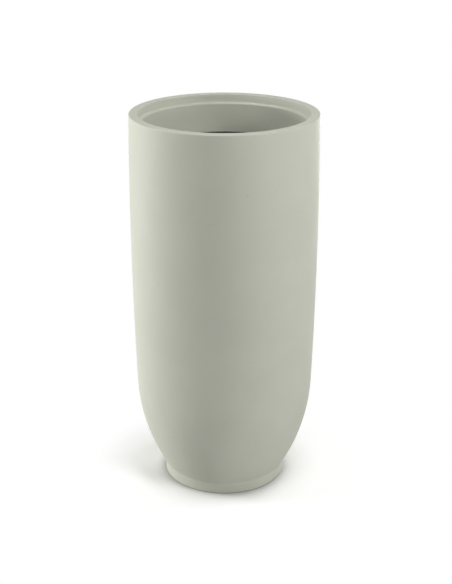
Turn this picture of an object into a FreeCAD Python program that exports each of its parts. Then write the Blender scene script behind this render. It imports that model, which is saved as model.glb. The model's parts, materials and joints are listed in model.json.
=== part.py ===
"""Tall fibreglass planter with a drop-in growing pot.

A painted laminate shell stands on a narrow foot and swells very slightly to a belly above its middle.
A second moulding is bonded into its top: the flat lip, the rebate inside the lip, and a skirt that
carries the pot. The pot hangs below the rim and lifts out, and a rubber plug closes the drain hole.

Millimetres, +Z up. The origin is on the ground, on the planter's axis.
"""
import FreeCAD, Part
import math
import os

from FreeCAD import Vector

os.makedirs("parts", exist_ok=True)

AXIS = Vector(0, 0, 1)
GROUND = Vector(0, 0, 0)

# Outside of the shell
HEIGHT = 890.0
RIM_RADIUS = 214.0
BELLY_SWELL = 2.3          # how far the belly stands out past the rim
BELLY_HEIGHT = 656.0
TUCK_HEIGHT = 244.0        # the long upper curve hands over to the tighter lower one here
FOOT_RADIUS = 144.5        # the lower curve lands on the foot's upright side
CREASE_HEIGHT = 27.0
CREASE_SOFTNESS = 6.0

# Laminate of the shell
WALL = 5.0
FLOOR_THICKNESS = 6.0
UNDERSIDE_RECESS = 6.0
BEARING_WIDTH = 20.0       # flat ring that the planter stands on
INSIDE_FLARES = 3          # straight flares that follow the lower curve on the inside
RIM_BEVEL = 1.5
FOOT_BEVEL = 1.0

# Rim collar, bonded into the top of the shell
LIP_WIDTH = 21.0           # across the top, from the shell's outside to the rebate
LIP_BEVEL = 0.8
LAP_HEIGHT = 32.0          # the turned-down outer edge, bonded to the inside of the shell
REBATE_DEPTH = 20.0
LEDGE_WIDTH = 7.0
COLLAR_WALL = 4.0
SEAT_WIDTH = 12.0
POT_LEVEL_DEPTH = 90.0     # from the top of the lip down to the top of the pot's flange

# Growing pot
POT_CLEARANCE = 1.0        # all round, between the pot's flange and the collar
POT_FLANGE = 3.0
POT_WALL = 3.0
POT_SIDE_GAP = 24.0        # from the hole in the seat to the pot's wall
POT_TAPER = 26.0           # how much narrower the pot is at the bottom
POT_DEPTH = 280.0
BASE_RAISE = 9.0           # the pot's floor stands this far above its foot
BASE_NOTCHES = 6
BASE_NOTCH_WIDTH = 24.0
BASE_NOTCH_HEIGHT = 5.0
DRAIN_HOLES = 8
DRAIN_HOLE_RADIUS = 6.0
DRAIN_CIRCLE_INSET = 44.0  # from the foot of the pot's wall
BASE_RIBS = 6
BASE_RIB_THICKNESS = 2.5
BASE_RIB_DEPTH = 5.0
BASE_RIB_INNER_RADIUS = 24.0
GRIP_SLOT_INSET = 2.5      # from the pot's wall to the near edge of a finger slot
GRIP_SLOT_WIDTH = 19.0
GRIP_SLOT_SPREAD = 32.0    # degrees, between the centres of the slot's rounded ends
GUSSETS_PER_SIDE = 4
GUSSET_THICKNESS = 2.5
GUSSET_DROP = 38.0
GUSSET_INSET = 2.5         # from the gusset's outer corner to the hole in the seat
GUSSET_MARGIN = 18.0       # degrees, from a finger slot's end to the nearest gusset

# Drain plug
DRAIN_RADIUS = 12.8
PLUG_CLEARANCE = 0.3
PLUG_TAIL = 2.5            # how far the plug pokes out under the floor
PLUG_HEAD_RADIUS = 19.0
PLUG_HEAD_THICKNESS = 4.0
PLUG_GRIP_LENGTH = 24.0
PLUG_GRIP_THICKNESS = 5.0
PLUG_GRIP_HEIGHT = 10.0
PLUG_GRIP_BEVEL = 1.0

# Foot pads
PADS = 6
PAD_RADIUS = 9.0
PAD_THICKNESS = 1.0

# Heights and radii that follow from these
FOOT_BOTTOM = PAD_THICKNESS
FLOOR_UNDERSIDE = FOOT_BOTTOM + UNDERSIDE_RECESS
FLOOR_TOP = FLOOR_UNDERSIDE + FLOOR_THICKNESS
REBATE_RADIUS = RIM_RADIUS - LIP_WIDTH
COLLAR_BORE = REBATE_RADIUS - LEDGE_WIDTH
LEDGE_HEIGHT = HEIGHT - REBATE_DEPTH
POT_TOP = HEIGHT - POT_LEVEL_DEPTH
SEAT_TOP = POT_TOP - POT_FLANGE
SEAT_HOLE = COLLAR_BORE - SEAT_WIDTH
POT_TOP_RADIUS = SEAT_HOLE - POT_SIDE_GAP
POT_BOTTOM_RADIUS = POT_TOP_RADIUS - POT_TAPER
POT_BOTTOM = POT_TOP - POT_DEPTH
POT_FLOOR_UNDERSIDE = POT_BOTTOM + BASE_RAISE


def on_profile(radius, height):
    """A point of the half section that is turned about the axis."""
    return Vector(radius, 0, height)


def turned(edges):
    """The solid made by turning a closed half section about the axis."""
    return Part.Face(Part.Wire(edges)).revolve(GROUND, AXIS, 360)


def polyline(points):
    """Straight edges through the points, not closed."""
    return [Part.makeLine(a, b) for a, b in zip(points, points[1:])]


def turned_polygon(points):
    return turned(polyline(points + points[:1]))


def turned_copies(shape, count, start=0.0, step=None):
    """Copies of a shape about the axis, evenly spaced unless a step in degrees is given."""
    step = 360 / count if step is None else step
    copies = []
    for i in range(count):
        copy = shape.copy()
        copy.rotate(GROUND, AXIS, start + i * step)
        copies.append(copy)
    return copies


class BodyCurve:
    """The planter's side: a long upper arc that turns vertical at the belly, and a lower arc tangent
    to it that lands on the foot. Offset inwards, both keep their centres."""

    def __init__(self):
        rise = HEIGHT - BELLY_HEIGHT
        self.upper_radius = (BELLY_SWELL**2 + rise**2) / (2 * BELLY_SWELL)
        self.upper_centre = on_profile(RIM_RADIUS + BELLY_SWELL - self.upper_radius, BELLY_HEIGHT)
        self.handover = self.on_upper(TUCK_HEIGHT, 0)
        self.inward = (self.upper_centre - self.handover).normalize()
        chord = on_profile(FOOT_RADIUS, CREASE_HEIGHT) - self.handover
        self.lower_radius = chord.dot(chord) / (2 * self.inward.dot(chord))
        self.lower_centre = self.handover + self.inward * self.lower_radius
        crease_reach = self.lower_radius + CREASE_SOFTNESS
        crease_out = FOOT_RADIUS + CREASE_SOFTNESS
        drop = math.sqrt(crease_reach**2 - (crease_out - self.lower_centre.x) ** 2)
        self.crease_centre = on_profile(crease_out, self.lower_centre.z - drop)
        self.crease_foot = on_profile(FOOT_RADIUS, self.crease_centre.z)
        to_body = (self.lower_centre - self.crease_centre).normalize()
        self.crease_top = self.crease_centre + to_body * CREASE_SOFTNESS

    def on_upper(self, height, offset):
        reach = self.upper_radius - offset
        out = math.sqrt(reach**2 - (height - self.upper_centre.z) ** 2)
        return on_profile(self.upper_centre.x + out, height)

    def on_lower(self, height, offset):
        reach = self.lower_radius - offset
        out = math.sqrt(reach**2 - (height - self.lower_centre.z) ** 2)
        return on_profile(self.lower_centre.x + out, height)

    def upper_edge(self, top, bottom, offset):
        """One arc of the upper curve, this far inside the surface."""
        middle = self.on_upper((top + bottom) / 2, offset)
        return Part.Arc(self.on_upper(top, offset), middle, self.on_upper(bottom, offset)).toShape()

    def lower_edge(self):
        """The outside of the lower curve, down to the soft crease above the foot."""
        middle = self.on_lower((TUCK_HEIGHT + self.crease_top.z) / 2, 0)
        return Part.Arc(self.handover, middle, self.crease_top).toShape()

    def crease_edge(self):
        """The soft inner corner between the lower curve and the foot's upright side."""
        halfway = (self.crease_top + self.crease_foot) / 2 - self.crease_centre
        middle = self.crease_centre + halfway.normalize() * CREASE_SOFTNESS
        return Part.Arc(self.crease_top, middle, self.crease_foot).toShape()


SIDE = BodyCurve()


def make_outer_shell():
    """Open laminate vessel: the outside, the foot, the floor with its drain hole, and the inside."""
    bevel_bottom = SIDE.on_upper(HEIGHT - RIM_BEVEL, 0)
    outside = [SIDE.upper_edge(bevel_bottom.z, TUCK_HEIGHT, 0), SIDE.lower_edge(), SIDE.crease_edge()]
    inner_handover = SIDE.handover + SIDE.inward * WALL
    flare_drop = (inner_handover.z - FLOOR_TOP) / INSIDE_FLARES
    flare_points = [inner_handover]
    for i in range(1, INSIDE_FLARES + 1):
        flare_points.append(SIDE.on_lower(inner_handover.z - i * flare_drop, WALL))
    inside = [SIDE.upper_edge(HEIGHT, inner_handover.z, WALL)] + polyline(flare_points)
    bearing_inner = FOOT_RADIUS - BEARING_WIDTH
    base = polyline([
        SIDE.crease_foot,
        on_profile(FOOT_RADIUS, FOOT_BOTTOM + FOOT_BEVEL),
        on_profile(FOOT_RADIUS - FOOT_BEVEL, FOOT_BOTTOM),
        on_profile(bearing_inner, FOOT_BOTTOM),
        on_profile(bearing_inner, FLOOR_UNDERSIDE),
        on_profile(DRAIN_RADIUS, FLOOR_UNDERSIDE),
        on_profile(DRAIN_RADIUS, FLOOR_TOP),
        flare_points[-1],
    ])
    top = polyline([
        SIDE.on_upper(HEIGHT, WALL),
        on_profile(RIM_RADIUS - RIM_BEVEL, HEIGHT),
        bevel_bottom,
    ])
    return turned(outside + base + inside[::-1] + top)


def make_rim_collar():
    """Lap, lip, rebate, ledge, skirt and seat: one laminate ring, folded like a gutter."""
    lap_bottom = SIDE.on_upper(HEIGHT - LAP_HEIGHT, WALL)
    lap_back = SIDE.on_upper(HEIGHT - LAP_HEIGHT, WALL + COLLAR_WALL).x
    lip_underside = HEIGHT - COLLAR_WALL
    skirt_outside = COLLAR_BORE + COLLAR_WALL
    rebate_back = REBATE_RADIUS + COLLAR_WALL
    seat_underside = SEAT_TOP - COLLAR_WALL
    folds = polyline([
        lap_bottom,
        on_profile(lap_back, HEIGHT - LAP_HEIGHT),
        on_profile(lap_back, lip_underside),
        on_profile(rebate_back, lip_underside),
        on_profile(rebate_back, LEDGE_HEIGHT - COLLAR_WALL),
        on_profile(skirt_outside, LEDGE_HEIGHT - COLLAR_WALL),
        on_profile(skirt_outside, seat_underside),
        on_profile(SEAT_HOLE, seat_underside),
        on_profile(SEAT_HOLE, SEAT_TOP),
        on_profile(COLLAR_BORE, SEAT_TOP),
        on_profile(COLLAR_BORE, LEDGE_HEIGHT),
        on_profile(REBATE_RADIUS, LEDGE_HEIGHT),
        on_profile(REBATE_RADIUS, HEIGHT - LIP_BEVEL),
        on_profile(REBATE_RADIUS + LIP_BEVEL, HEIGHT),
        SIDE.on_upper(HEIGHT, WALL),
    ])
    return turned([SIDE.upper_edge(HEIGHT, HEIGHT - LAP_HEIGHT, WALL)] + folds)


def pot_radius(height):
    """The outside of the pot's tapered wall at this height."""
    taper = (POT_TOP_RADIUS - POT_BOTTOM_RADIUS) / (SEAT_TOP - POT_BOTTOM)
    return POT_BOTTOM_RADIUS + taper * (height - POT_BOTTOM)


def make_pot_shell():
    """The pot turned in one piece: flange, tapered wall, raised floor and foot."""
    flange_radius = COLLAR_BORE - POT_CLEARANCE
    floor_top = POT_FLOOR_UNDERSIDE + POT_WALL
    return turned_polygon([
        on_profile(flange_radius, POT_TOP),
        on_profile(flange_radius, SEAT_TOP),
        on_profile(POT_TOP_RADIUS, SEAT_TOP),
        on_profile(POT_BOTTOM_RADIUS, POT_BOTTOM),
        on_profile(POT_BOTTOM_RADIUS - POT_WALL, POT_BOTTOM),
        on_profile(pot_radius(POT_FLOOR_UNDERSIDE) - POT_WALL, POT_FLOOR_UNDERSIDE),
        on_profile(0, POT_FLOOR_UNDERSIDE),
        on_profile(0, floor_top),
        on_profile(pot_radius(floor_top) - POT_WALL, floor_top),
        on_profile(pot_radius(POT_TOP) - POT_WALL, POT_TOP),
    ])


def make_grip_slot():
    """Curved slot through the flange for the fingers that lift the pot, centred on +X."""
    middle = POT_TOP_RADIUS + GRIP_SLOT_INSET + GRIP_SLOT_WIDTH / 2
    half = GRIP_SLOT_WIDTH / 2
    depth = 3 * POT_FLANGE
    start = Vector(0, 0, SEAT_TOP - POT_FLANGE)
    ring = Part.makeCylinder(middle + half, depth, start, AXIS, GRIP_SLOT_SPREAD)
    ring = ring.cut(Part.makeCylinder(middle - half, depth, start, AXIS, 360))
    ring.rotate(GROUND, AXIS, -GRIP_SLOT_SPREAD / 2)
    end = Part.makeCylinder(half, depth, start + Vector(middle, 0, 0))
    ends = turned_copies(end, 2, -GRIP_SLOT_SPREAD / 2, GRIP_SLOT_SPREAD)
    return ring.fuse(ends).removeSplitter()


def make_gusset():
    """Triangular web under the flange that stiffens the pot's rim, in the XZ plane."""
    root = pot_radius(SEAT_TOP - GUSSET_DROP) - POT_WALL / 2
    corners = [
        Vector(root, 0, SEAT_TOP + POT_FLANGE / 2),
        Vector(SEAT_HOLE - GUSSET_INSET, 0, SEAT_TOP + POT_FLANGE / 2),
        Vector(SEAT_HOLE - GUSSET_INSET, 0, SEAT_TOP - POT_FLANGE),
        Vector(root, 0, SEAT_TOP - GUSSET_DROP),
    ]
    web = Part.Face(Part.makePolygon(corners + corners[:1])).extrude(Vector(0, GUSSET_THICKNESS, 0))
    web.translate(Vector(0, -GUSSET_THICKNESS / 2, 0))
    return web


def make_base_rib():
    """Radial web under the pot's raised floor."""
    length = pot_radius(POT_FLOOR_UNDERSIDE) - POT_WALL / 2 - BASE_RIB_INNER_RADIUS
    corner = Vector(
        BASE_RIB_INNER_RADIUS, -BASE_RIB_THICKNESS / 2, POT_FLOOR_UNDERSIDE - BASE_RIB_DEPTH,
    )
    return Part.makeBox(length, BASE_RIB_THICKNESS, BASE_RIB_DEPTH + POT_WALL / 2, corner)


def make_growing_pot():
    """Black pot that hangs by its flange on the collar's seat."""
    pot = make_pot_shell()
    free_arc = 180 - GRIP_SLOT_SPREAD - 2 * GUSSET_MARGIN
    first = GRIP_SLOT_SPREAD / 2 + GUSSET_MARGIN
    spacing = free_arc / (GUSSETS_PER_SIDE - 1)
    webs = turned_copies(make_gusset(), GUSSETS_PER_SIDE, first, spacing)
    webs += turned_copies(make_gusset(), GUSSETS_PER_SIDE, first + 180, spacing)
    webs += turned_copies(make_base_rib(), BASE_RIBS)
    pot = pot.fuse(webs)

    below = Vector(0, 0, POT_BOTTOM - BASE_NOTCH_HEIGHT)
    hole = Part.makeCylinder(DRAIN_HOLE_RADIUS, 2 * BASE_RAISE + POT_WALL + BASE_NOTCH_HEIGHT, below)
    outer_hole = hole.copy()
    outer_hole.translate(Vector(POT_BOTTOM_RADIUS - DRAIN_CIRCLE_INSET, 0, 0))
    notch_corner = Vector(
        POT_BOTTOM_RADIUS - 3 * POT_WALL, -BASE_NOTCH_WIDTH / 2, POT_BOTTOM - BASE_NOTCH_HEIGHT,
    )
    notch = Part.makeBox(6 * POT_WALL, BASE_NOTCH_WIDTH, 2 * BASE_NOTCH_HEIGHT, notch_corner)
    cuts = [hole]
    cuts += turned_copies(outer_hole, DRAIN_HOLES)
    cuts += turned_copies(notch, BASE_NOTCHES)
    cuts += turned_copies(make_grip_slot(), 2)
    return pot.cut(cuts).removeSplitter()


def make_drain_plug():
    """Rubber bung with a flat head and a fin to pull it by."""
    stem_length = FLOOR_THICKNESS + PLUG_TAIL
    stem_bottom = Vector(0, 0, FLOOR_TOP - stem_length)
    stem = Part.makeCylinder(DRAIN_RADIUS - PLUG_CLEARANCE, stem_length, stem_bottom)
    head = Part.makeCylinder(PLUG_HEAD_RADIUS, PLUG_HEAD_THICKNESS, Vector(0, 0, FLOOR_TOP))
    head_top = FLOOR_TOP + PLUG_HEAD_THICKNESS
    fin = Part.makeBox(
        PLUG_GRIP_LENGTH, PLUG_GRIP_THICKNESS, PLUG_GRIP_HEIGHT,
        Vector(-PLUG_GRIP_LENGTH / 2, -PLUG_GRIP_THICKNESS / 2, head_top),
    )
    fin = fin.makeChamfer(PLUG_GRIP_BEVEL, [e for e in fin.Edges if e.BoundBox.ZMax > head_top + 1e-3])
    return stem.fuse([head, fin]).removeSplitter()


def make_foot_pads():
    """Rubber discs stuck under the bearing ring."""
    pad = Part.makeCylinder(PAD_RADIUS, PAD_THICKNESS, Vector(FOOT_RADIUS - BEARING_WIDTH / 2, 0, 0))
    return Part.makeCompound(turned_copies(pad, PADS, 180 / PADS))


PIECES = {
    "outer_shell": make_outer_shell,
    "rim_collar": make_rim_collar,
    "growing_pot": make_growing_pot,
    "drain_plug": make_drain_plug,
    "foot_pads": make_foot_pads,
}

for name, make in PIECES.items():
    shape = make()
    box = shape.BoundBox
    print(
        f"{name}: {len(shape.Solids)} solids, {shape.Volume / 1000:.1f} cm3, valid {shape.isValid()}, "
        f"z {box.ZMin:.2f} to {box.ZMax:.2f}, x {box.XMin:.2f} to {box.XMax:.2f}"
    )
    shape.exportStep(f"parts/{name}.step")
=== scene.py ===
"""Looks of the tall fibreglass planter: painted laminate skins, a moulded pot, rubber fittings, studio.

Metres, +Z up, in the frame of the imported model. The planter's front faces -Y.
"""

import json
import math

import bmesh
import bpy
from mathutils import Matrix, Vector

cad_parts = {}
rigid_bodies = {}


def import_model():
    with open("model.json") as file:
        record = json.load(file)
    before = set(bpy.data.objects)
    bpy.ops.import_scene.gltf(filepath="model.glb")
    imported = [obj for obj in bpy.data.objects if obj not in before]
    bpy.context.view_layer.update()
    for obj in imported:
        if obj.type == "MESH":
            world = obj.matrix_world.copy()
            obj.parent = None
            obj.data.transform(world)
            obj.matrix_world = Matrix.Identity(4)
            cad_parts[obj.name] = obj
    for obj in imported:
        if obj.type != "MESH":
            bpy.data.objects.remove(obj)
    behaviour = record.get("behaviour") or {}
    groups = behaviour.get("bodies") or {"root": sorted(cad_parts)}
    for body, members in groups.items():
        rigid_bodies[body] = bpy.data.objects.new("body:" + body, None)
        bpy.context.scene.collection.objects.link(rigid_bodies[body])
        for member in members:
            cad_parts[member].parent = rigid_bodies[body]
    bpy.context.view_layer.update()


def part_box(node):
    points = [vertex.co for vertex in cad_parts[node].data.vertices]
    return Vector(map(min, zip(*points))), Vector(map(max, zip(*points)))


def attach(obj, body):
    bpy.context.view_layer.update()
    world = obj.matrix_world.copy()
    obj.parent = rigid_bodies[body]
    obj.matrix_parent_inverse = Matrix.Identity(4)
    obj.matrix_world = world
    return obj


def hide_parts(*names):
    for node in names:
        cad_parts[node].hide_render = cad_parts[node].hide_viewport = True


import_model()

MM = 0.001

# The planter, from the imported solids
SHELL_LOW, SHELL_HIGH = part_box("outer_shell")
COLLAR_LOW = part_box("rim_collar")[0]
POT_LOW, POT_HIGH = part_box("growing_pot")
PLUG_LOW, PLUG_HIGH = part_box("drain_plug")
PAD_THICKNESS = SHELL_LOW.z
HEIGHT = SHELL_HIGH.z
BELLY_RADIUS = SHELL_HIGH.x

# Outside of the shell
BELLY_SWELL = 2.3 * MM
BELLY_HEIGHT = 656 * MM
TUCK_HEIGHT = 244 * MM
CREASE_HEIGHT = 27 * MM
CREASE_SOFTNESS = 6 * MM
RIM_RADIUS = BELLY_RADIUS - BELLY_SWELL
FOOT_RADIUS = 144.5 * MM

# Laminate of the shell
WALL = 5 * MM
FLOOR_THICKNESS = 6 * MM
UNDERSIDE_RECESS = 6 * MM
BEARING_WIDTH = 20 * MM
DRAIN_RADIUS = 12.8 * MM
FLOOR_COVE = 10 * MM
RIM_EDGE_ROUND = 1.8 * MM
FOOT_EDGE_ROUND = 0.6 * MM
FLOOR_UNDERSIDE = PAD_THICKNESS + UNDERSIDE_RECESS
FLOOR_TOP = FLOOR_UNDERSIDE + FLOOR_THICKNESS

# Rim collar
LIP_WIDTH = 21 * MM
LIP_EDGE_ROUND = 1.2 * MM
LAP_HEIGHT = 32 * MM
REBATE_DEPTH = 20 * MM
LEDGE_WIDTH = 7 * MM
COLLAR_WALL = 4 * MM
LEDGE_ROUND = 2.8 * MM
SEAT_EDGE_ROUND = 1.2 * MM
FOLD_ROUND = 2.5 * MM
SEAT_WIDTH = 12 * MM
REBATE_RADIUS = RIM_RADIUS - LIP_WIDTH
COLLAR_BORE = REBATE_RADIUS - LEDGE_WIDTH
LEDGE_HEIGHT = HEIGHT - REBATE_DEPTH
SEAT_UNDERSIDE = COLLAR_LOW.z
SEAT_TOP = SEAT_UNDERSIDE + COLLAR_WALL
SEAT_HOLE = COLLAR_BORE - SEAT_WIDTH

# Growing pot
POT_TOP = POT_HIGH.z
POT_BOTTOM = POT_LOW.z
FLANGE_RADIUS = POT_HIGH.x
POT_WALL = 3 * MM
POT_SIDE_GAP = 24 * MM
POT_TAPER = 26 * MM
POT_TOP_RADIUS = SEAT_HOLE - POT_SIDE_GAP
POT_BOTTOM_RADIUS = POT_TOP_RADIUS - POT_TAPER
POT_EDGE_ROUND = 0.9 * MM
POT_CUT_ROUND = 0.5 * MM
POT_COVE = 6 * MM
POT_BEAD = 1.6 * MM
POT_BEAD_WIDTH = 4 * MM
BASE_RAISE = 9 * MM
BASE_NOTCHES = 6
BASE_NOTCH_WIDTH = 24 * MM
BASE_NOTCH_HEIGHT = 5 * MM
DRAIN_HOLES = 8
DRAIN_HOLE_RADIUS = 6 * MM
DRAIN_CIRCLE_INSET = 44 * MM
BASE_RIBS = 6
BASE_RIB_THICKNESS = 2.5 * MM
BASE_RIB_DEPTH = 5 * MM
BASE_RIB_INNER_RADIUS = 24 * MM
GRIP_SLOT_INSET = 2.5 * MM
GRIP_SLOT_WIDTH = 19 * MM
GRIP_SLOT_SPREAD = 32
GRIP_SLOT_STEPS = 24
GRIP_SLOT_END_STEPS = 12
GRIP_SLOT_CUT_BELOW = 5 * MM
GRIP_SLOT_CUT_DEPTH = 12 * MM
GUSSETS_PER_SIDE = 4
GUSSET_THICKNESS = 2.5 * MM
GUSSET_DROP = 38 * MM
GUSSET_INSET = 2.5 * MM
GUSSET_TIP = 3 * MM
GUSSET_MARGIN = 18
POT_FLOOR_UNDERSIDE = POT_BOTTOM + BASE_RAISE

# Drain plug and pads
PLUG_STEM_RADIUS = DRAIN_RADIUS - 0.3 * MM
PLUG_HEAD_RADIUS = PLUG_HIGH.x
PLUG_HEAD_THICKNESS = 4 * MM
PLUG_GRIP_LENGTH = 24 * MM
PLUG_GRIP_THICKNESS = 5 * MM
PLUG_EDGE_ROUND = 1 * MM
FIN_CORNER_ROUND = 2.5 * MM
FIN_ROOT = 1 * MM
PADS = 6
PAD_RADIUS = 9 * MM
PAD_EDGE_ROUND = 0.35 * MM

# Smoothness of the turned skins
TURN_STEPS = 256
SMALL_TURN_STEPS = 96
HOLE_TURN_STEPS = 32
SIDE_STEP = 12 * MM
ROUND_STEPS = 5
SHARP_ANGLE = 40
WELD_DISTANCE = 0.01 * MM

# The photograph's frame, and the camera solved from its ellipses
IMAGE_WIDTH = 452
IMAGE_HEIGHT = 584
FOCAL_PIXELS = 1199.3
OBJECT_CENTRE_PIXEL = 224.4
CAMERA_DISTANCE = 2.6368
CAMERA_HEIGHT = 1.4894
CAMERA_PITCH = 21.328
SENSOR = 36.0

# Studio. A contact shade is its reach over the floor and its weight. The shadow fades to white between two
# distances from the planter's axis.
FLOOR_HALF_WIDTH = 12.0
FLOOR_WHITE = "#F4F4F4"
FLOOR_GAIN = "#C5C5C5"
CONTACT_SHADES = ((100 * MM, 0.3), (30 * MM, 0.8))
CONTACT_SHADE_SAMPLES = 16
SHADOW_FADE_START = 180 * MM
SHADOW_FADE_END = 340 * MM
AMBIENT = 0.04
LIGHT_DISTANCE = 3.0
LIGHT_AIM = Vector((0, 0, HEIGHT / 2))


def linear(hex_colour):
    """An sRGB hex colour as the linear RGBA that a shader takes."""
    channels = []
    for i in (1, 3, 5):
        value = int(hex_colour[i:i + 2], 16) / 255
        channels.append(value / 12.92 if value <= 0.04045 else ((value + 0.055) / 1.055) ** 2.4)
    return (*channels, 1.0)


# ---------------------------------------------------------------- turned skins

class SideCurve:
    """The planter's side: a long arc, vertical at the belly, and a tighter one tangent below it."""

    def __init__(self):
        rise = HEIGHT - BELLY_HEIGHT
        self.upper_radius = (BELLY_SWELL**2 + rise**2) / (2 * BELLY_SWELL)
        self.upper_centre = Vector((BELLY_RADIUS - self.upper_radius, BELLY_HEIGHT))
        self.handover = self.on_upper(TUCK_HEIGHT, 0)
        self.inward = (self.upper_centre - self.handover).normalized()
        chord = Vector((FOOT_RADIUS, CREASE_HEIGHT)) - self.handover
        self.lower_radius = chord.length_squared / (2 * self.inward.dot(chord))
        self.lower_centre = self.handover + self.inward * self.lower_radius

    def on_upper(self, height, inset):
        reach = self.upper_radius - inset
        out = math.sqrt(reach**2 - (height - self.upper_centre.y) ** 2)
        return Vector((self.upper_centre.x + out, height))

    def on_lower(self, height, inset):
        reach = self.lower_radius - inset
        out = math.sqrt(reach**2 - (height - self.lower_centre.y) ** 2)
        return Vector((self.lower_centre.x + out, height))

    def point(self, height, inset):
        """The side's (radius, height) at this height, this far inside the outer face."""
        if height > self.handover.y + self.inward.y * inset:
            return self.on_upper(height, inset)
        return self.on_lower(height, inset)

    def run(self, start, end, inset):
        """Points along the side between two heights, the ends left out."""
        steps = max(2, round(abs(end - start) / SIDE_STEP))
        return [self.point(start + (end - start) * i / steps, inset) for i in range(1, steps)]


SIDE = SideCurve()


def corner(radius, height, rounding=0.0):
    """A corner of a half section, with the radius that softens it."""
    return Vector((radius, height)), rounding


def smooth_points(points):
    return [(point, 0.0) for point in points]


def rounded_section(corners):
    """The closed half section, each softened corner turned into a short arc."""
    section = []
    for i, (point, rounding) in enumerate(corners):
        if rounding == 0:
            section.append(point)
            continue
        back = (corners[i - 1][0] - point).normalized()
        ahead = (corners[(i + 1) % len(corners)][0] - point).normalized()
        half_angle = math.acos(max(-1, min(1, back.dot(ahead)))) / 2
        trim = rounding / math.tan(half_angle)
        centre = point + (back + ahead).normalized() * (rounding / math.sin(half_angle))
        start = point + back * trim - centre
        end = point + ahead * trim - centre
        sweep = start.angle(end)
        for step in range(ROUND_STEPS + 1):
            share = step / ROUND_STEPS
            spoke = start * math.sin((1 - share) * sweep) + end * math.sin(share * sweep)
            section.append(centre + spoke / math.sin(sweep))
    return section


def turned_mesh(name, section, steps=TURN_STEPS):
    """A mesh turned about the axis from a closed half section. A point on the axis is one vertex."""
    mesh = bpy.data.meshes.new(name)
    build = bmesh.new()
    rings = []
    for radius, height in section:
        if radius == 0:
            rings.append([build.verts.new((0, 0, height))])
            continue
        spokes = [2 * math.pi * step / steps for step in range(steps)]
        rings.append([
            build.verts.new((radius * math.cos(spoke), radius * math.sin(spoke), height))
            for spoke in spokes
        ])
    for i, ring in enumerate(rings):
        following = rings[(i + 1) % len(rings)]
        if len(ring) == len(following) == 1:
            continue
        for step in range(steps):
            beside = (step + 1) % steps
            corners = [ring[step % len(ring)], ring[beside % len(ring)]]
            corners += [following[beside % len(following)], following[step % len(following)]]
            build.faces.new(list(dict.fromkeys(corners)))
    bmesh.ops.recalc_face_normals(build, faces=build.faces)
    build.to_mesh(mesh)
    build.free()
    return mesh


def soften(mesh):
    """Smooth shading everywhere but across real edges."""
    mesh.shade_smooth()
    mesh.set_sharp_from_angle(angle=math.radians(SHARP_ANGLE))
    return mesh


def extruded_mesh(name, outline, shift):
    """A flat outline of points in space, carried along a shift into a solid."""
    mesh = bpy.data.meshes.new(name)
    build = bmesh.new()
    face = build.faces.new([build.verts.new(point) for point in outline])
    grown = bmesh.ops.extrude_face_region(build, geom=[face])["geom"]
    moved = [item for item in grown if isinstance(item, bmesh.types.BMVert)]
    bmesh.ops.translate(build, verts=moved, vec=shift)
    bmesh.ops.recalc_face_normals(build, faces=build.faces)
    build.to_mesh(mesh)
    build.free()
    return mesh


def prism_mesh(name, outline, thickness):
    """An outline in the XZ plane, thickened equally to both sides of it."""
    return extruded_mesh(name, [(x, -thickness / 2, z) for x, z in outline], (0, thickness, 0))


def box_mesh(name, low, high):
    """A box between two opposite corners."""
    outline = [(low.x, low.z), (high.x, low.z), (high.x, high.z), (low.x, high.z)]
    mesh = prism_mesh(name, outline, high.y - low.y)
    mesh.transform(Matrix.Translation((0, (low.y + high.y) / 2, 0)))
    return mesh


def turned_copies(mesh, count, start=0.0, step=None):
    """The mesh repeated about the axis, as (mesh, placement) pairs. Angles in degrees."""
    step = 360 / count if step is None else step
    return [(mesh, Matrix.Rotation(math.radians(start + i * step), 4, "Z")) for i in range(count)]


def gathered_mesh(name, placed):
    """One mesh from several placed ones, which don't touch each other."""
    gathered = bpy.data.meshes.new(name)
    build = bmesh.new()
    for mesh, placement in placed:
        copy = mesh.copy()
        copy.transform(placement)
        build.from_mesh(copy)
        bpy.data.meshes.remove(copy)
    build.to_mesh(gathered)
    build.free()
    return gathered


def evaluated_mesh(piece):
    """The mesh of an object after its modifiers."""
    return bpy.data.meshes.new_from_object(piece.evaluated_get(bpy.context.evaluated_depsgraph_get()))


def combined(mesh, operation, placed):
    """The mesh after an exact boolean with all the placed tools."""
    base = bpy.data.objects.new(mesh.name, mesh)
    tool = bpy.data.objects.new(mesh.name + "_tool", gathered_mesh(mesh.name + "_tool", placed))
    for each in (base, tool):
        bpy.context.scene.collection.objects.link(each)
    boolean = base.modifiers.new("cut", "BOOLEAN")
    boolean.operation = operation
    boolean.solver = "EXACT"
    boolean.use_self = operation == "UNION"
    boolean.object = tool
    shaped = evaluated_mesh(base)
    bpy.data.objects.remove(base)
    bpy.data.objects.remove(tool)
    return shaped


def eased(mesh, width):
    """The mesh with its sharp edges broken, as a polished mould leaves them, and its flat faces flat."""
    soften(mesh)
    piece = bpy.data.objects.new(mesh.name, mesh)
    bpy.context.scene.collection.objects.link(piece)
    weld = piece.modifiers.new("weld", "WELD")
    weld.merge_threshold = WELD_DISTANCE
    bevel = piece.modifiers.new("bevel", "BEVEL")
    bevel.limit_method = "ANGLE"
    bevel.angle_limit = math.radians(SHARP_ANGLE)
    bevel.width = width
    bevel.segments = 2
    bevel.use_clamp_overlap = True
    normals = piece.modifiers.new("normals", "WEIGHTED_NORMAL")
    normals.keep_sharp = True
    shaped = evaluated_mesh(piece)
    bpy.data.objects.remove(piece)
    return shaped


def add_piece(name, mesh, body, materials, replaced):
    """Links a mesh as a piece that rides on a body in a node's place."""
    mesh.materials.clear()
    for material in materials:
        mesh.materials.append(material)
    piece = bpy.data.objects.new(name, mesh)
    bpy.context.scene.collection.objects.link(piece)
    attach(piece, body)
    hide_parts(replaced)
    return piece


# ---------------------------------------------------------------- materials

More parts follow.
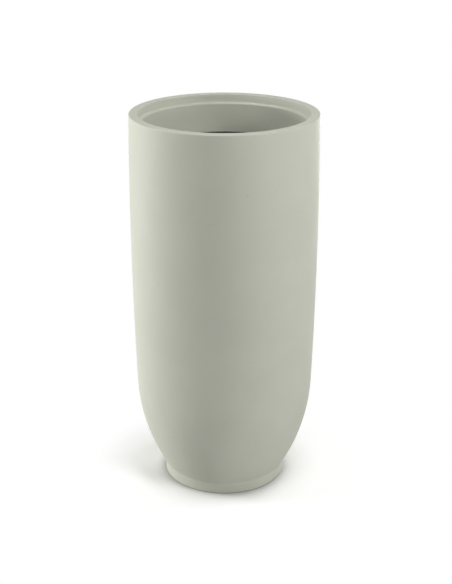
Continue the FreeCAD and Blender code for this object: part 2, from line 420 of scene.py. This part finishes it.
def new_material(name):
    material = bpy.data.materials.new(name)
    material.use_nodes = True
    material.node_tree.nodes.clear()
    return material


def add_node(owner, kind, inputs=None, **settings):
    """Adds a node with its settings. An input is a value, or the socket that feeds it."""
    node = owner.node_tree.nodes.new(kind)
    for name, value in settings.items():
        setattr(node, name, value)
    for socket, value in (inputs or {}).items():
        if isinstance(value, bpy.types.NodeSocket):
            owner.node_tree.links.new(value, node.inputs[socket])
        else:
            node.inputs[socket].default_value = value
    return node


def per_metre(size_mm):
    """The texture scale that makes one feature this many millimetres across."""
    return 1000 / size_mm


def make_painted_laminate():
    """Glass-fibre laminate, sanded and sprayed with a satin two-part paint.

    The eye gets an even sage grey with a soft sheen, a cloudy unevenness from the spray passes, an
    orange peel that only shows from close up, a few scuffs from handling, and pale nibs near the
    ground where the paint has chipped and dust has dried on."""
    material = new_material("painted_laminate")
    place = add_node(material, "ShaderNodeTexCoord").outputs["Object"]

    clouds = add_node(material, "ShaderNodeTexNoise", {
        "Vector": place, "Scale": per_metre(90), "Detail": 3.0, "Roughness": 0.5,
    })
    tinted = add_node(material, "ShaderNodeMix", {
        0: clouds.outputs["Fac"], 6: linear("#BEC0B2"), 7: linear("#C6C8BA"),
    }, data_type="RGBA")

    scuff_cells = add_node(material, "ShaderNodeTexVoronoi", {
        "Vector": place, "Scale": per_metre(26), "Randomness": 1.0,
    })
    scuff_spot = add_node(material, "ShaderNodeMapRange", {
        "Value": scuff_cells.outputs["Distance"], "From Min": 0.05, "From Max": 0.11,
        "To Min": 1.0, "To Max": 0.0,
    }, interpolation_type="SMOOTHSTEP")
    scuff_pick = add_node(material, "ShaderNodeMath", {
        0: scuff_cells.outputs["Color"], 1: 0.72,
    }, operation="GREATER_THAN")
    scuffs = add_node(material, "ShaderNodeMath", {
        0: scuff_spot.outputs[0], 1: scuff_pick.outputs[0],
    }, operation="MULTIPLY")
    scuff_strength = add_node(material, "ShaderNodeMath", {
        0: scuffs.outputs[0], 1: 0.22,
    }, operation="MULTIPLY")
    scuffed = add_node(material, "ShaderNodeMix", {
        0: scuff_strength.outputs[0], 6: tinted.outputs[2], 7: linear("#8F9082"),
    }, data_type="RGBA")

    height = add_node(material, "ShaderNodeSeparateXYZ", {0: place}).outputs["Z"]
    near_ground = add_node(material, "ShaderNodeMapRange", {
        "Value": height, "From Min": PAD_THICKNESS, "From Max": 34 * MM, "To Min": 1.0, "To Max": 0.0,
    })
    nib_cells = add_node(material, "ShaderNodeTexVoronoi", {
        "Vector": place, "Scale": per_metre(9), "Randomness": 1.0,
    })
    nib_spot = add_node(material, "ShaderNodeMapRange", {
        "Value": nib_cells.outputs["Distance"], "From Min": 0.10, "From Max": 0.16,
        "To Min": 1.0, "To Max": 0.0,
    })
    nib_pick = add_node(material, "ShaderNodeMath", {
        0: nib_cells.outputs["Color"], 1: 0.62,
    }, operation="GREATER_THAN")
    nib_low = add_node(material, "ShaderNodeMath", {
        0: nib_pick.outputs[0], 1: near_ground.outputs[0],
    }, operation="MULTIPLY")
    nibs = add_node(material, "ShaderNodeMath", {
        0: nib_spot.outputs[0], 1: nib_low.outputs[0],
    }, operation="MULTIPLY")
    finished = add_node(material, "ShaderNodeMix", {
        0: nibs.outputs[0], 6: scuffed.outputs[2], 7: linear("#EFEEDF"),
    }, data_type="RGBA")

    sheen_patches = add_node(material, "ShaderNodeTexNoise", {
        "Vector": place, "Scale": per_metre(140), "Detail": 2.0,
    })
    roughness = add_node(material, "ShaderNodeMapRange", {
        "Value": sheen_patches.outputs["Fac"], "To Min": 0.58, "To Max": 0.68,
    })
    peel_grain = add_node(material, "ShaderNodeTexNoise", {
        "Vector": place, "Scale": per_metre(2.2), "Detail": 2.0, "Roughness": 0.6,
    })
    peel = add_node(material, "ShaderNodeBump", {
        "Height": peel_grain.outputs["Fac"], "Strength": 0.3, "Distance": 0.03 * MM,
    })
    shader = add_node(material, "ShaderNodeBsdfPrincipled", {
        "Base Color": finished.outputs[2], "Roughness": roughness.outputs[0], "IOR": 1.46,
        "Normal": peel.outputs["Normal"],
    })
    add_node(material, "ShaderNodeOutputMaterial", {"Surface": shader.outputs[0]})
    return material


def make_raw_laminate():
    """Chopped-strand mat wetted out with grey polyester resin and rolled by hand, left unpainted.

    Strands 50 mm long lie every way under a glossy, slightly lumpy skin of resin."""
    material = new_material("raw_laminate")
    place = add_node(material, "ShaderNodeTexCoord").outputs["Object"]
    strands = 0.0
    for tilt, turn in ((12, 0), (63, 38), (108, 71), (151, 124)):
        lay = add_node(material, "ShaderNodeMapping", {
            "Vector": place, "Rotation": (math.radians(tilt), math.radians(turn), 0),
            "Scale": (per_metre(50), per_metre(1.6), per_metre(1.6)),
        })
        bundle = add_node(material, "ShaderNodeTexNoise", {
            "Vector": lay.outputs[0], "Scale": 1.0, "Detail": 1.0, "Distortion": 0.15,
        })
        strand = add_node(material, "ShaderNodeMapRange", {
            "Value": bundle.outputs["Fac"], "From Min": 0.58, "From Max": 0.68,
        })
        strands = add_node(material, "ShaderNodeMath", {
            0: strands, 1: strand.outputs[0],
        }, operation="MAXIMUM").outputs[0]
    resin_lumps = add_node(material, "ShaderNodeTexNoise", {
        "Vector": place, "Scale": per_metre(18), "Detail": 3.0,
    })
    resin = add_node(material, "ShaderNodeMix", {
        0: resin_lumps.outputs["Fac"], 6: linear("#8C8F7C"), 7: linear("#A3A593"),
    }, data_type="RGBA")
    laid = add_node(material, "ShaderNodeMath", {0: strands, 1: 0.55}, operation="MULTIPLY")
    colour = add_node(material, "ShaderNodeMix", {
        0: laid.outputs[0], 6: resin.outputs[2], 7: linear("#C5C6B8"),
    }, data_type="RGBA")
    lumps = add_node(material, "ShaderNodeBump", {
        "Height": resin_lumps.outputs["Fac"], "Strength": 0.6, "Distance": 1.2 * MM,
    })
    ridges = add_node(material, "ShaderNodeBump", {
        "Height": strands, "Strength": 0.5, "Distance": 0.2 * MM, "Normal": lumps.outputs["Normal"],
    })
    shader = add_node(material, "ShaderNodeBsdfPrincipled", {
        "Base Color": colour.outputs[2], "Roughness": 0.34, "IOR": 1.55,
        "Normal": ridges.outputs["Normal"],
    })
    add_node(material, "ShaderNodeOutputMaterial", {"Surface": shader.outputs[0]})
    return material


def make_black_polypropylene():
    """Carbon-black polypropylene, injection moulded in a spark-eroded tool.

    A dull black with a fine even grain, drawn coarser than the real one so that it shows, and a slight
    bloom where it has been handled."""
    material = new_material("black_polypropylene")
    place = add_node(material, "ShaderNodeTexCoord").outputs["Object"]
    bloom = add_node(material, "ShaderNodeTexNoise", {
        "Vector": place, "Scale": per_metre(60), "Detail": 4.0,
    })
    colour = add_node(material, "ShaderNodeMix", {
        0: bloom.outputs["Fac"], 6: linear("#1C1C1A"), 7: linear("#292926"),
    }, data_type="RGBA")
    grain = add_node(material, "ShaderNodeTexNoise", {
        "Vector": place, "Scale": per_metre(0.9), "Detail": 1.0,
    })
    grained = add_node(material, "ShaderNodeBump", {
        "Height": grain.outputs["Fac"], "Strength": 0.5, "Distance": 0.04 * MM,
    })
    roughness = add_node(material, "ShaderNodeMapRange", {
        "Value": bloom.outputs["Fac"], "To Min": 0.52, "To Max": 0.64,
    })
    shader = add_node(material, "ShaderNodeBsdfPrincipled", {
        "Base Color": colour.outputs[2], "Roughness": roughness.outputs[0], "IOR": 1.49,
        "Normal": grained.outputs["Normal"],
    })
    add_node(material, "ShaderNodeOutputMaterial", {"Surface": shader.outputs[0]})
    return material


def make_black_rubber():
    """Compression-moulded black rubber: matte, with a grey dusting of bloom and grit in its pores."""
    material = new_material("black_rubber")
    place = add_node(material, "ShaderNodeTexCoord").outputs["Object"]
    bloom = add_node(material, "ShaderNodeTexNoise", {
        "Vector": place, "Scale": per_metre(7), "Detail": 5.0, "Roughness": 0.65,
    })
    colour = add_node(material, "ShaderNodeMix", {
        0: bloom.outputs["Fac"], 6: linear("#151514"), 7: linear("#30302D"),
    }, data_type="RGBA")
    pores = add_node(material, "ShaderNodeBump", {
        "Height": bloom.outputs["Fac"], "Strength": 0.4, "Distance": 0.1 * MM,
    })
    shader = add_node(material, "ShaderNodeBsdfPrincipled", {
        "Base Color": colour.outputs[2], "Roughness": 0.82, "IOR": 1.52,
        "Normal": pores.outputs["Normal"],
    })
    add_node(material, "ShaderNodeOutputMaterial", {"Surface": shader.outputs[0]})
    return material


painted_laminate = make_painted_laminate()
raw_laminate = make_raw_laminate()
black_polypropylene = make_black_polypropylene()
black_rubber = make_black_rubber()


def leave_raw(mesh, is_raw):
    """Gives the second material to the faces that no spray gun reaches."""
    for face in mesh.polygons:
        radius = math.hypot(face.center.x, face.center.y)
        if is_raw(radius, face.center.z):
            face.material_index = 1


# ---------------------------------------------------------------- the planter's pieces

def inside_shell(radius, height):
    """True inside the middle of the shell's laminate, from the underside of its floor to its top edge."""
    if height < CREASE_HEIGHT:
        reach = SIDE.point(CREASE_HEIGHT, WALL / 2).x - WALL
    else:
        reach = SIDE.point(height, WALL / 2).x
    return FLOOR_UNDERSIDE - MM < height < HEIGHT - MM and radius < reach


def behind_collar(radius, height):
    """True on the side of the collar that faces the shell's hollow."""
    behind_rebate = radius > REBATE_RADIUS + COLLAR_WALL / 2 and height < HEIGHT - MM
    behind_skirt = radius > COLLAR_BORE + COLLAR_WALL / 2 and height < LEDGE_HEIGHT - MM
    under_seat = height < SEAT_UNDERSIDE + COLLAR_WALL / 2
    return behind_rebate or behind_skirt or under_seat


def make_shell():
    """The outer moulding: painted outside, raw laminate inside."""
    section = rounded_section(
        [corner(RIM_RADIUS, HEIGHT, RIM_EDGE_ROUND)]
        + smooth_points(SIDE.run(HEIGHT, CREASE_HEIGHT, 0))
        + [
            corner(FOOT_RADIUS, CREASE_HEIGHT, CREASE_SOFTNESS),
            corner(FOOT_RADIUS, PAD_THICKNESS, FOOT_EDGE_ROUND),
            corner(FOOT_RADIUS - BEARING_WIDTH, PAD_THICKNESS, FOOT_EDGE_ROUND),
            corner(FOOT_RADIUS - BEARING_WIDTH, FLOOR_UNDERSIDE),
            corner(DRAIN_RADIUS, FLOOR_UNDERSIDE),
            corner(DRAIN_RADIUS, FLOOR_TOP),
            corner(SIDE.point(FLOOR_TOP, WALL).x, FLOOR_TOP, FLOOR_COVE),
        ]
        + smooth_points(SIDE.run(FLOOR_TOP, HEIGHT, WALL))
        + [corner(SIDE.point(HEIGHT, WALL).x, HEIGHT)]
    )
    mesh = soften(turned_mesh("planter_shell", section))
    leave_raw(mesh, inside_shell)
    add_piece("planter_shell", mesh, "planter", [painted_laminate, raw_laminate],
              "outer_shell")


def make_collar():
    """The ring folded like a gutter: lap, lip, rebate, ledge, skirt and seat."""
    lap_inner = SIDE.point(HEIGHT - LAP_HEIGHT, WALL + COLLAR_WALL).x
    rebate_back = REBATE_RADIUS + COLLAR_WALL
    skirt_back = COLLAR_BORE + COLLAR_WALL
    section = rounded_section(
        [corner(SIDE.point(HEIGHT, WALL).x, HEIGHT)]
        + smooth_points(SIDE.run(HEIGHT, HEIGHT - LAP_HEIGHT, WALL))
        + [
            corner(SIDE.point(HEIGHT - LAP_HEIGHT, WALL).x, HEIGHT - LAP_HEIGHT),
            corner(lap_inner, HEIGHT - LAP_HEIGHT),
            corner(lap_inner, HEIGHT - COLLAR_WALL, FOLD_ROUND),
            corner(rebate_back, HEIGHT - COLLAR_WALL, FOLD_ROUND),
            corner(rebate_back, LEDGE_HEIGHT - COLLAR_WALL, FOLD_ROUND),
            corner(skirt_back, LEDGE_HEIGHT - COLLAR_WALL, FOLD_ROUND),
            corner(skirt_back, SEAT_UNDERSIDE, FOLD_ROUND),
            corner(SEAT_HOLE, SEAT_UNDERSIDE, SEAT_EDGE_ROUND),
            corner(SEAT_HOLE, SEAT_TOP, SEAT_EDGE_ROUND),
            corner(COLLAR_BORE, SEAT_TOP, SEAT_EDGE_ROUND),
            corner(COLLAR_BORE, LEDGE_HEIGHT, LEDGE_ROUND),
            corner(REBATE_RADIUS, LEDGE_HEIGHT, LEDGE_ROUND),
            corner(REBATE_RADIUS, HEIGHT, LIP_EDGE_ROUND),
        ]
    )
    mesh = soften(turned_mesh("rim_and_collar", section))
    leave_raw(mesh, behind_collar)
    add_piece("rim_and_collar", mesh, "planter", [painted_laminate, raw_laminate],
              "rim_collar")


def pot_radius(height):
    """The outside of the pot's tapered wall at this height."""
    return POT_BOTTOM_RADIUS + POT_TAPER * (height - POT_BOTTOM) / (SEAT_TOP - POT_BOTTOM)


def slot_mesh():
    """A cutter for one finger slot: a curved slot with round ends, centred on +X."""
    half = GRIP_SLOT_WIDTH / 2
    middle = POT_TOP_RADIUS + GRIP_SLOT_INSET + half
    spread = math.radians(GRIP_SLOT_SPREAD)
    level = SEAT_TOP - GRIP_SLOT_CUT_BELOW
    outline = []
    for radius, start, end, first in (
        (middle + half, -spread / 2, spread / 2, spread / 2),
        (middle - half, spread / 2, -spread / 2, -spread / 2 + math.pi),
    ):
        for i in range(GRIP_SLOT_STEPS + 1):
            angle = start + (end - start) * i / GRIP_SLOT_STEPS
            outline.append((radius * math.cos(angle), radius * math.sin(angle), level))
        centre_x, centre_y = middle * math.cos(end), middle * math.sin(end)
        for i in range(1, GRIP_SLOT_END_STEPS):
            turn = first + math.pi * i / GRIP_SLOT_END_STEPS
            outline.append((centre_x + half * math.cos(turn), centre_y + half * math.sin(turn), level))
    return extruded_mesh("finger_slot", outline, (0, 0, GRIP_SLOT_CUT_DEPTH))


def make_pot():
    """The pot in one moulding: turned, then its gussets and ribs joined on, then its openings cut."""
    floor_top = POT_FLOOR_UNDERSIDE + POT_WALL
    section = rounded_section([
        corner(FLANGE_RADIUS - POT_BEAD_WIDTH, POT_TOP, POT_BEAD / 2),
        corner(FLANGE_RADIUS - POT_BEAD_WIDTH, POT_TOP + POT_BEAD, POT_BEAD / 2),
        corner(FLANGE_RADIUS, POT_TOP + POT_BEAD, POT_BEAD / 2),
        corner(FLANGE_RADIUS, SEAT_TOP, POT_EDGE_ROUND),
        corner(POT_TOP_RADIUS, SEAT_TOP, POT_EDGE_ROUND),
        corner(POT_BOTTOM_RADIUS, POT_BOTTOM, POT_EDGE_ROUND),
        corner(POT_BOTTOM_RADIUS - POT_WALL, POT_BOTTOM, POT_EDGE_ROUND),
        corner(pot_radius(POT_FLOOR_UNDERSIDE) - POT_WALL, POT_FLOOR_UNDERSIDE, POT_EDGE_ROUND),
        corner(0, POT_FLOOR_UNDERSIDE),
        corner(0, floor_top),
        corner(pot_radius(floor_top) - POT_WALL, floor_top, POT_COVE),
        corner(pot_radius(POT_TOP) - POT_WALL, POT_TOP, 2 * POT_EDGE_ROUND),
    ])
    pot = turned_mesh("growing_pot", section)

    root = pot_radius(SEAT_TOP - GUSSET_DROP) - POT_WALL / 2
    reach = SEAT_HOLE - GUSSET_INSET
    web_top = (SEAT_TOP + POT_TOP) / 2
    gusset = prism_mesh("gusset", [
        (root, web_top), (reach, web_top), (reach, SEAT_TOP - GUSSET_TIP), (root, SEAT_TOP - GUSSET_DROP),
    ], GUSSET_THICKNESS)
    rib = box_mesh(
        "base_rib",
        Vector((BASE_RIB_INNER_RADIUS, -BASE_RIB_THICKNESS / 2, POT_FLOOR_UNDERSIDE - BASE_RIB_DEPTH)),
        Vector((pot_radius(POT_FLOOR_UNDERSIDE) - POT_WALL / 2, BASE_RIB_THICKNESS / 2,
                POT_FLOOR_UNDERSIDE + POT_WALL / 2)),
    )
    first = GRIP_SLOT_SPREAD / 2 + GUSSET_MARGIN
    spacing = (180 - GRIP_SLOT_SPREAD - 2 * GUSSET_MARGIN) / (GUSSETS_PER_SIDE - 1)
    webs = turned_copies(gusset, GUSSETS_PER_SIDE, first, spacing)
    webs += turned_copies(gusset, GUSSETS_PER_SIDE, first + 180, spacing)
    webs += turned_copies(rib, BASE_RIBS)
    pot = combined(pot, "UNION", webs)

    hole_section = [
        Vector((DRAIN_HOLE_RADIUS, POT_BOTTOM - BASE_NOTCH_HEIGHT)),
        Vector((DRAIN_HOLE_RADIUS, floor_top + BASE_RAISE)),
        Vector((0, floor_top + BASE_RAISE)),
        Vector((0, POT_BOTTOM - BASE_NOTCH_HEIGHT)),
    ]
    hole = turned_mesh("drain_hole", hole_section, HOLE_TURN_STEPS)
    outer_hole = hole.copy()
    outer_hole.transform(Matrix.Translation((POT_BOTTOM_RADIUS - DRAIN_CIRCLE_INSET, 0, 0)))
    notch_middle = Vector((POT_BOTTOM_RADIUS, 0, POT_BOTTOM))
    notch_reach = Vector((3 * POT_WALL, BASE_NOTCH_WIDTH / 2, BASE_NOTCH_HEIGHT))
    notch = box_mesh("notch", notch_middle - notch_reach, notch_middle + notch_reach)
    cuts = [(hole, Matrix.Identity(4))]
    cuts += turned_copies(outer_hole, DRAIN_HOLES)
    cuts += turned_copies(notch, BASE_NOTCHES)
    cuts += turned_copies(slot_mesh(), 2)
    pot = eased(combined(pot, "DIFFERENCE", cuts), POT_CUT_ROUND)
    add_piece("moulded_growing_pot", pot, "pot", [black_polypropylene],
              "growing_pot")


def make_plug():
    """The bung in one moulding, with a fin on its head to pull it by."""
    head_top = FLOOR_TOP + PLUG_HEAD_THICKNESS
    section = rounded_section([
        corner(0, PLUG_LOW.z),
        corner(PLUG_STEM_RADIUS, PLUG_LOW.z, PLUG_EDGE_ROUND),
        corner(PLUG_STEM_RADIUS, FLOOR_TOP),
        corner(PLUG_HEAD_RADIUS, FLOOR_TOP, PLUG_EDGE_ROUND / 2),
        corner(PLUG_HEAD_RADIUS, head_top, PLUG_EDGE_ROUND),
        corner(0, head_top),
    ])
    body = turned_mesh("bung", section, SMALL_TURN_STEPS)
    half = PLUG_GRIP_LENGTH / 2
    fin_outline = rounded_section([
        corner(-half, head_top - FIN_ROOT),
        corner(half, head_top - FIN_ROOT),
        corner(half, PLUG_HIGH.z, FIN_CORNER_ROUND),
        corner(-half, PLUG_HIGH.z, FIN_CORNER_ROUND),
    ])
    fin = prism_mesh("fin", fin_outline, PLUG_GRIP_THICKNESS)
    plug = eased(combined(body, "UNION", [(fin, Matrix.Identity(4))]), PLUG_EDGE_ROUND / 2)
    add_piece("rubber_drain_plug", plug, "plug", [black_rubber], "drain_plug")


def make_pads():
    """Thin discs stuck under the bearing ring of the foot."""
    section = rounded_section([
        corner(0, 0),
        corner(PAD_RADIUS, 0, PAD_EDGE_ROUND),
        corner(PAD_RADIUS, PAD_THICKNESS, PAD_EDGE_ROUND),
        corner(0, PAD_THICKNESS),
    ])
    pad = turned_mesh("pad", section, SMALL_TURN_STEPS)
    pad.transform(Matrix.Translation((FOOT_RADIUS - BEARING_WIDTH / 2, 0, 0)))
    pads = soften(gathered_mesh("foot_pads", turned_copies(pad, PADS, 180 / PADS)))
    add_piece("rubber_foot_pads", pads, "planter", [black_rubber], "foot_pads")


make_shell()
make_collar()
make_pot()
make_plug()
make_pads()


# ---------------------------------------------------------------- studio

def make_floor():
    """A matte white floor.

    The camera sees it brighter than it is, so that only the planter's shadow falls below white. It is
    darker where the foot closes the light off, and fades to plain white further away."""
    material = new_material("studio_floor")
    matte = add_node(material, "ShaderNodeBsdfDiffuse", {"Color": linear(FLOOR_WHITE)})
    closed_off = 1.0
    for reach, weight in CONTACT_SHADES:
        shade = add_node(material, "ShaderNodeAmbientOcclusion", {
            "Distance": reach,
        }, samples=CONTACT_SHADE_SAMPLES)
        weighted = add_node(material, "ShaderNodeMath", {
            0: shade.outputs["AO"], 1: weight,
        }, operation="POWER")
        closed_off = add_node(material, "ShaderNodeMath", {
            0: closed_off, 1: weighted.outputs[0],
        }, operation="MULTIPLY").outputs[0]
    layers = []
    for layer_colour in (FLOOR_WHITE, FLOOR_GAIN):
        colour = add_node(material, "ShaderNodeMix", {
            0: closed_off, 6: linear("#000000"), 7: linear(layer_colour),
        }, data_type="RGBA")
        layer = add_node(material, "ShaderNodeBsdfDiffuse", {"Color": colour.outputs[2]})
        layers.append(layer.outputs[0])
    bright = add_node(material, "ShaderNodeAddShader", {0: layers[0], 1: layers[1]})
    white = add_node(material, "ShaderNodeEmission", {"Color": linear("#FFFFFF"), "Strength": 1.0})
    place = add_node(material, "ShaderNodeTexCoord").outputs["Object"]
    away = add_node(material, "ShaderNodeVectorMath", {0: place}, operation="LENGTH")
    fade = add_node(material, "ShaderNodeMapRange", {
        "Value": away.outputs["Value"], "From Min": SHADOW_FADE_START, "From Max": SHADOW_FADE_END,
    }, interpolation_type="SMOOTHSTEP")
    faded = add_node(material, "ShaderNodeMixShader", {
        0: fade.outputs[0], 1: bright.outputs[0], 2: white.outputs[0],
    })
    seen = add_node(material, "ShaderNodeLightPath").outputs["Is Camera Ray"]
    shader = add_node(material, "ShaderNodeMixShader", {
        0: seen, 1: matte.outputs[0], 2: faded.outputs[0],
    })
    add_node(material, "ShaderNodeOutputMaterial", {"Surface": shader.outputs[0]})

    half = FLOOR_HALF_WIDTH
    mesh = bpy.data.meshes.new("studio_floor")
    corners = [(-half, -half, 0), (half, -half, 0), (half, half, 0), (-half, half, 0)]
    mesh.from_pydata(corners, [], [(0, 1, 2, 3)])
    mesh.materials.append(material)
    floor = bpy.data.objects.new("studio_floor", mesh)
    bpy.context.scene.collection.objects.link(floor)


def make_world(ambient):
    """White to the camera and in reflections, and a plain ambient light for everything else."""
    world = bpy.data.worlds.new("studio_air")
    bpy.context.scene.world = world
    world.use_nodes = True
    world.node_tree.nodes.clear()
    rays = add_node(world, "ShaderNodeLightPath")
    mirrored = add_node(world, "ShaderNodeMath", {
        0: rays.outputs["Is Camera Ray"], 1: rays.outputs["Is Glossy Ray"],
    }, operation="MAXIMUM")
    seen = add_node(world, "ShaderNodeMath", {
        0: mirrored.outputs[0], 1: rays.outputs["Is Transmission Ray"],
    }, operation="MAXIMUM")
    strength = add_node(world, "ShaderNodeMapRange", {
        "Value": seen.outputs[0], "To Min": ambient, "To Max": 1.0,
    })
    air = add_node(world, "ShaderNodeBackground", {
        "Color": linear("#FFFFFF"), "Strength": strength.outputs[0],
    })
    add_node(world, "ShaderNodeOutputWorld", {"Surface": air.outputs[0]})


def add_softbox(name, azimuth, elevation, width, length, power, flagged=False):
    """A rectangular soft light, aimed at the planter's middle. Angles in degrees, azimuth from the front.

    A flagged one is screened off the floor, and lights the planter alone."""
    light = bpy.data.lights.new(name, "AREA")
    light.shape = "RECTANGLE"
    light.size = width
    light.size_y = length
    light.energy = power
    box = bpy.data.objects.new(name, light)
    around, up = math.radians(azimuth), math.radians(elevation)
    level = Vector((math.sin(around), -math.cos(around), 0))
    from_middle = math.cos(up) * level + math.sin(up) * Vector((0, 0, 1))
    box.location = LIGHT_AIM + LIGHT_DISTANCE * from_middle
    box.rotation_euler = (-from_middle).to_track_quat("-Z", "Y").to_euler()
    bpy.context.scene.collection.objects.link(box)
    if flagged:
        box.light_linking.receiver_collection = planter_alone


def add_camera():
    data = bpy.data.cameras.new("photo_camera")
    data.sensor_width = SENSOR
    data.lens = FOCAL_PIXELS * SENSOR / IMAGE_HEIGHT
    data.shift_x = (IMAGE_WIDTH / 2 - OBJECT_CENTRE_PIXEL) / IMAGE_HEIGHT
    camera = bpy.data.objects.new("photo_camera", data)
    camera.location = (0, -CAMERA_DISTANCE, CAMERA_HEIGHT)
    camera.rotation_euler = (math.radians(90 - CAMERA_PITCH), 0, 0)
    bpy.context.scene.collection.objects.link(camera)
    bpy.context.scene.camera = camera


planter_alone = bpy.data.collections.new("planter_alone")
for piece in bpy.context.scene.objects:
    if piece.type == "MESH":
        planter_alone.objects.link(piece)

make_floor()
make_world(AMBIENT)
add_softbox("left_wing", -90, 35, 1.0, 1.0, 34)
add_softbox("left_strip", -90, 12, 1.0, 0.3, 33, flagged=True)
add_softbox("left_back_strip", -104, -3, 1.0, 0.3, 29, flagged=True)
add_softbox("back_strip", 156, 3, 1.6, 1.1, 48)
add_softbox("right_wing", 47, 30, 1.0, 1.0, 38)
add_softbox("right_front_strip", 34, 12, 1.0, 0.3, 8, flagged=True)
add_softbox("right_strip", 100, 12, 1.0, 0.3, 5, flagged=True)
add_softbox("right_back", 115, 35, 1.8, 1.8, 12)
add_softbox("key", 30, 75, 0.8, 0.8, 13)
add_softbox("overhead", 0, 85, 0.8, 0.8, 8, flagged=True)
add_camera()

bpy.context.scene.view_settings.view_transform = "Standard"
